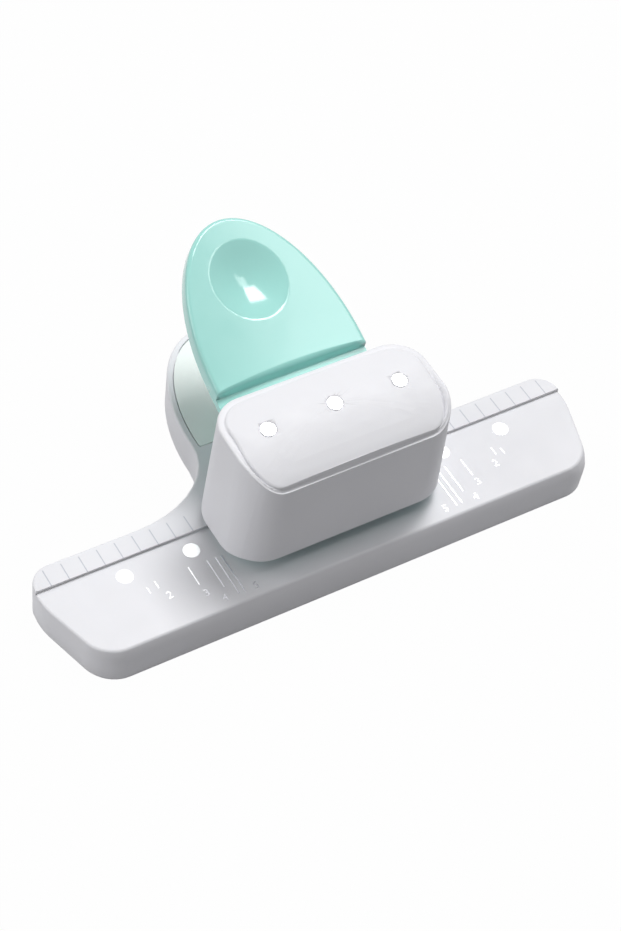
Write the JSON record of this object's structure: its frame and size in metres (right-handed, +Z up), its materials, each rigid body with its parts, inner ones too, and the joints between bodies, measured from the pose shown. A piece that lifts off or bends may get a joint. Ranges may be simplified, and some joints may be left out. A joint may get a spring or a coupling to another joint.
{
  "type": "three-hole punch",
  "caption": "Flat desk punch for small ring binders: ruler bar base, white cap over three spring-returned punches, mint thumb lever at the rear",
  "frame": {"origin": "on the table plane, at the centre of the whole outline, under the neck between the bar and the lobe", "axes": "+X along the ruler bar to the right, +Y from the bar to the thumb lever, +Z up"},
  "size_m": [0.1596, 0.0886, 0.0575],
  "materials": {
    "white_abs": "moulded white ABS with a satin gloss",
    "pale_abs": "fine matt moulded ABS insert",
    "mint_abs": "glossy mint moulded ABS",
    "steel": "turned and ground steel",
    "spring_steel": "drawn spring wire",
    "rubber": "matt black rubber pads"
  },
  "bodies": {
    "base": {"base_body": "white_abs", "lobe_panel": "pale_abs", "bottom_plate": "white_abs", "foot_bar_left": "rubber", "foot_bar_right": "rubber", "foot_lobe_left": "rubber", "foot_lobe_right": "rubber", "die_plate": "steel", "punch_frame": "mint_abs", "punch_spring_left": "spring_steel", "punch_spring_middle": "spring_steel", "punch_spring_right": "spring_steel", "pivot_pin": "steel", "pivot_clip": "steel", "cap": "white_abs", "side_screw_left": "steel", "side_screw_right": "steel", "column_screw_left": "steel", "column_screw_right": "steel"},
    "lever": {"lever": "mint_abs", "press_rod": "steel"},
    "punch_left": {"punch_left": "steel", "punch_clip_left": "steel"},
    "punch_middle": {"punch_middle": "steel", "punch_clip_middle": "steel"},
    "punch_right": {"punch_right": "steel", "punch_clip_right": "steel"},
    "chip_cover": {"chip_cover": "white_abs"}
  },
  "joints": [
    {"name": "lever_hinge", "type": "hinge", "parent": "base", "child": "lever", "pos_m": [0, -0.03165, 0.027], "axis": [-1, 0, 0], "range_deg": [0, 25], "stiffness_Nm_per_rad": 0.3, "springref_deg": -17.19},
    {"name": "punch_slide_left", "type": "slide", "parent": "base", "child": "punch_left", "axis": [0, 0, -1], "range_m": [0, 0.004], "deforming": ["punch_spring_left"]},
    {"name": "punch_slide_middle", "type": "slide", "parent": "base", "child": "punch_middle", "axis": [0, 0, -1], "range_m": [0, 0.004], "deforming": ["punch_spring_middle"]},
    {"name": "punch_slide_right", "type": "slide", "parent": "base", "child": "punch_right", "axis": [0, 0, -1], "range_m": [0, 0.004], "deforming": ["punch_spring_right"]},
    {"name": "chip_cover_hinge", "type": "hinge", "parent": "base", "child": "chip_cover", "pos_m": [0, -0.03815, 0.002], "axis": [-1, 0, 0], "range_deg": [0, 80]}
  ],
  "couplings": [
    {"joint": "punch_slide_left", "follows": "lever_hinge", "m_per_rad": 0.009146},
    {"joint": "punch_slide_middle", "follows": "lever_hinge", "m_per_rad": 0.009146},
    {"joint": "punch_slide_right", "follows": "lever_hinge", "m_per_rad": 0.009146}
  ]
}
